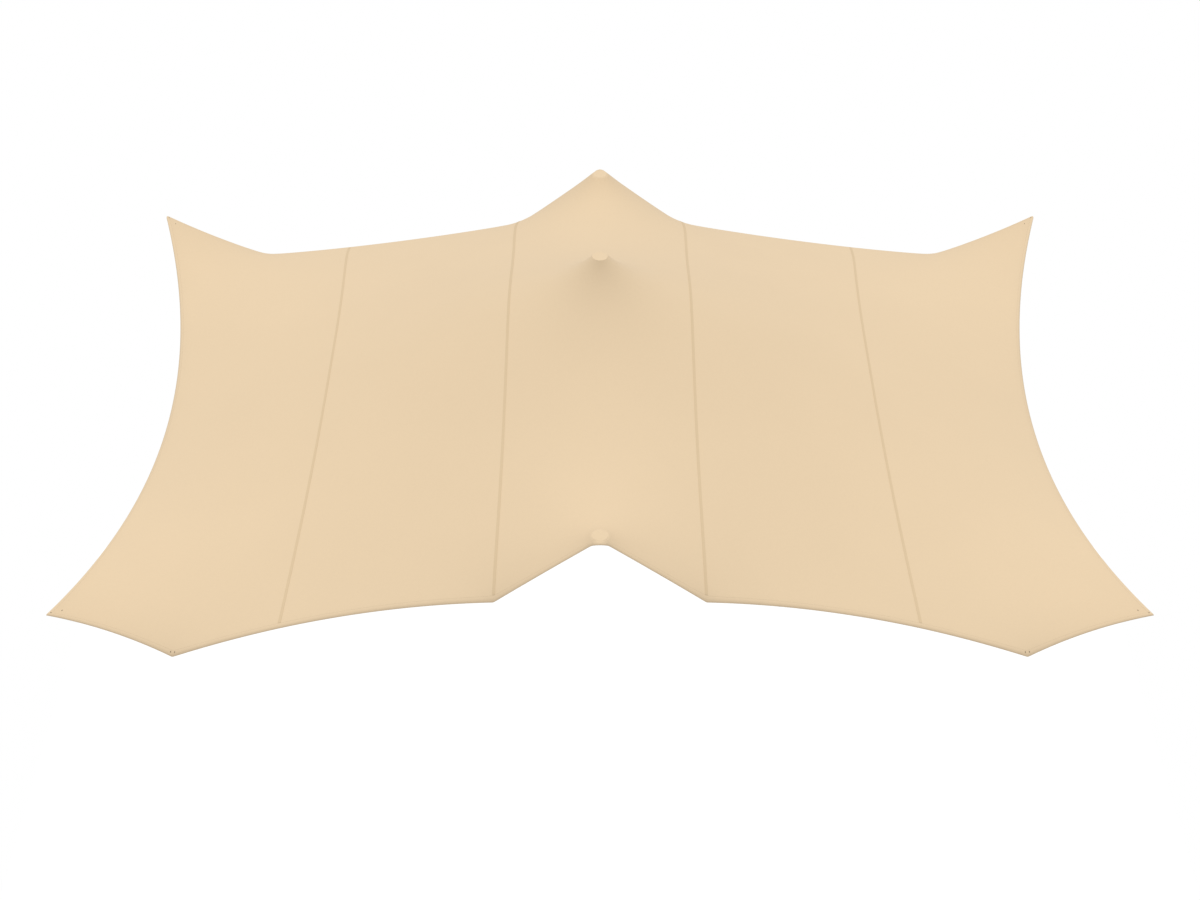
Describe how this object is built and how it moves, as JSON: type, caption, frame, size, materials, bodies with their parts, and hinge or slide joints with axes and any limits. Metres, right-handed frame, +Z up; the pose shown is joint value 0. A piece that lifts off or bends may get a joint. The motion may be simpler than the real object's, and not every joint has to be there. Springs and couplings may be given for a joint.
{
  "type": "stretch tent canopy",
  "caption": "Canopy of a stretch tent: seamed fabric panels raised over pole heads in a line and drawn out at its tips, hemmed all round, with webbing loops.",
  "frame": {"origin": "middle of the flat end of the king pole head's plug, where the king pole carries the canopy", "axes": "+X across the width to the right as seen from the front, +Y to the back, +Z up"},
  "size_m": [7.4996, 5.0598, 1.6437],
  "materials": {
    "sand_fabric": "matte knitted stretch fabric with a waterproof coat",
    "seam_tape": "matte welded tape",
    "hem_fabric": "matte, folded and stitched",
    "doubled_fabric": "matte doubled cloth, stitched",
    "woven_webbing": "matte woven webbing, stitched",
    "tan_plastic": "matte moulded"
  },
  "bodies": {
    "root": {"left_end_panel": "sand_fabric", "left_inner_panel": "sand_fabric", "centre_panel": "sand_fabric", "right_inner_panel": "sand_fabric", "right_end_panel": "sand_fabric", "left_outer_seam": "seam_tape", "left_inner_seam": "seam_tape", "right_inner_seam": "seam_tape", "right_outer_seam": "seam_tape", "front_hem": "hem_fabric", "back_hem": "hem_fabric", "left_hem": "hem_fabric", "right_hem": "hem_fabric", "front_left_corner_patch": "doubled_fabric", "front_left_low_patch": "doubled_fabric", "front_left_shoulder_patch": "doubled_fabric", "front_right_corner_patch": "doubled_fabric", "front_right_low_patch": "doubled_fabric", "front_right_shoulder_patch": "doubled_fabric", "back_left_corner_patch": "doubled_fabric", "back_left_low_patch": "doubled_fabric", "back_left_shoulder_patch": "doubled_fabric", "back_right_corner_patch": "doubled_fabric", "back_right_low_patch": "doubled_fabric", "back_right_shoulder_patch": "doubled_fabric", "front_peak_patch": "doubled_fabric", "king_patch": "doubled_fabric", "back_peak_patch": "doubled_fabric", "front_left_corner_loop": "woven_webbing", "front_left_low_loop": "woven_webbing", "front_left_shoulder_loop": "woven_webbing", "front_right_corner_loop": "woven_webbing", "front_right_low_loop": "woven_webbing", "front_right_shoulder_loop": "woven_webbing", "back_left_corner_loop": "woven_webbing", "back_left_low_loop": "woven_webbing", "back_left_shoulder_loop": "woven_webbing", "back_right_corner_loop": "woven_webbing", "back_right_low_loop": "woven_webbing", "back_right_shoulder_loop": "woven_webbing", "king_pole_head": "tan_plastic", "front_pole_head": "tan_plastic", "back_pole_head": "tan_plastic"}
  },
  "joints": []
}
